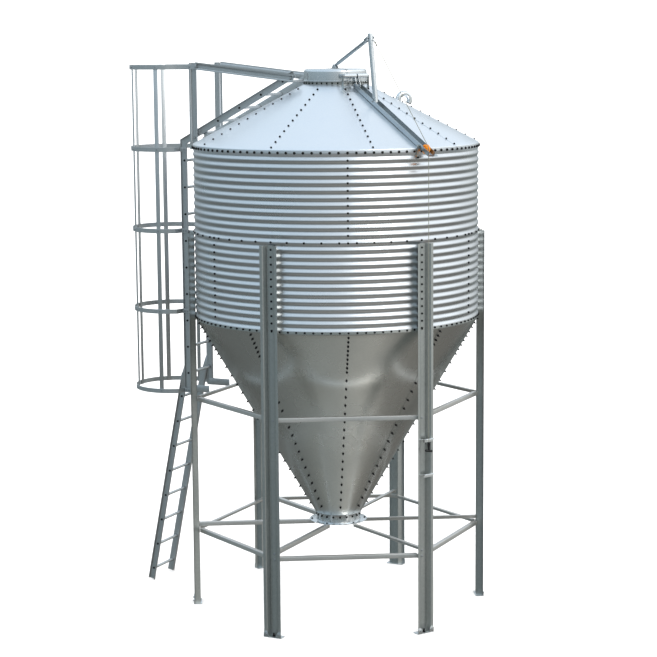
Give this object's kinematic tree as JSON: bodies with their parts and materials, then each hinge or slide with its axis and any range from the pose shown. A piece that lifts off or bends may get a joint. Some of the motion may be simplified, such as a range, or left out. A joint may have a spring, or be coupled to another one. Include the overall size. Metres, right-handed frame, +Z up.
{
  "type": "feed silo",
  "caption": "Hopper-bottom feed silo of corrugated galvanised sheet on braced legs, with a caged ladder, a roof lid opened from the ground by a rope, and a flanged outlet.",
  "frame": {"origin": "middle of the footprint, at the underside of the feet", "axes": "+Z up; the wall seam that the picture shows in front faces -Y; two of the legs stand on the line of X through the silo's axis; the ladder is at the back left and the lid gear at the front right"},
  "size_m": [3.45, 2.7698, 5.5881],
  "materials": {
    "galvanised_steel": "hot-dip galvanised, grey, semi-matt",
    "corrugated_sheet": "galvanised corrugated sheet",
    "roof_sheet": "galvanised flat sheet, pale",
    "bright_steel": "bright zinc-coated steel",
    "orange_plastic": "moulded orange plastic",
    "black_plastic": "moulded black plastic",
    "rope": "thin grey rope",
    "dark_bolts": "bolt heads with dark sealing washers"
  },
  "bodies": {
    "silo": {"wall_sheet_upper_1": "corrugated_sheet", "wall_sheet_upper_2": "corrugated_sheet", "wall_sheet_upper_3": "corrugated_sheet", "wall_sheet_lower_1": "corrugated_sheet", "wall_sheet_lower_2": "corrugated_sheet", "wall_sheet_lower_3": "corrugated_sheet", "roof_sheets_1": "roof_sheet", "roof_sheets_2": "roof_sheet", "roof_sheets_3": "roof_sheet", "roof_collar": "galvanised_steel", "hopper_sheets_1": "galvanised_steel", "hopper_sheets_2": "galvanised_steel", "hopper_sheets_3": "galvanised_steel", "outlet_collar": "galvanised_steel", "leg_1": "galvanised_steel", "leg_2": "galvanised_steel", "leg_3": "galvanised_steel", "leg_4": "galvanised_steel", "leg_5": "galvanised_steel", "leg_6": "galvanised_steel", "brace_ring_upper": "galvanised_steel", "brace_ring_lower": "galvanised_steel", "outlet_strut_1": "galvanised_steel", "outlet_strut_2": "galvanised_steel", "outlet_strut_3": "galvanised_steel", "outlet_strut_4": "galvanised_steel", "outlet_strut_5": "galvanised_steel", "outlet_strut_6": "galvanised_steel", "ladder_upright": "galvanised_steel", "ladder_foot": "galvanised_steel", "ladder_roof": "galvanised_steel", "handrail_near": "galvanised_steel", "handrail_far": "galvanised_steel", "cage_hoop_1": "galvanised_steel", "cage_hoop_2": "galvanised_steel", "cage_hoop_3": "galvanised_steel", "cage_hoop_4": "galvanised_steel", "cage_hoop_5": "galvanised_steel", "cage_strip_1": "galvanised_steel", "cage_strip_2": "galvanised_steel", "cage_strip_3": "galvanised_steel", "cage_strip_4": "galvanised_steel", "cage_strip_5": "galvanised_steel", "lid_channel": "bright_steel", "roof_vent": "bright_steel", "rope_over_roof": "rope", "rope_down": "rope"},
    "lid": {"lid": "bright_steel"},
    "pull_rod": {"pull_rod": "bright_steel"},
    "mast": {"mast": "bright_steel"},
    "pulley": {"pulley_wheel": "orange_plastic"},
    "handle": {"pull_handle": "black_plastic"}
  },
  "joints": [
    {"name": "lid_hinge", "type": "hinge", "parent": "silo", "child": "lid", "pos_m": [0.44415, -0.29272, 5.189], "axis": [0.866, 0.5, 0], "range_deg": [0, 82]},
    {"name": "rod_hinge", "type": "hinge", "parent": "lid", "child": "pull_rod", "pos_m": [0.27515, 0, 5.285], "axis": [0.866, 0.5, 0], "range_deg": [-49.5, 0]},
    {"name": "mast_hinge", "type": "hinge", "parent": "silo", "child": "mast", "pos_m": [0.60865, -0.57764, 4.953], "axis": [0.866, 0.5, 0], "range_deg": [0, 44], "deforming": ["rope_over_roof"]},
    {"name": "pulley_spin", "type": "hinge", "parent": "silo", "child": "pulley", "pos_m": [1.00065, -1.2566, 4.54], "axis": [0.866, 0.5, 0], "range_deg": [0, 508]},
    {"name": "handle_slide", "type": "slide", "parent": "silo", "child": "handle", "axis": [0, 0, -1], "range_m": [0, 0.342], "deforming": ["rope_down"]}
  ],
  "couplings": [
    {"joint": "rod_hinge", "follows": "lid_hinge", "ratio": -0.5976},
    {"joint": "mast_hinge", "follows": "lid_hinge", "ratio": 0.535},
    {"joint": "pulley_spin", "follows": "lid_hinge", "ratio": 6.171},
    {"joint": "handle_slide", "follows": "lid_hinge", "m_per_rad": 0.2376}
  ]
}
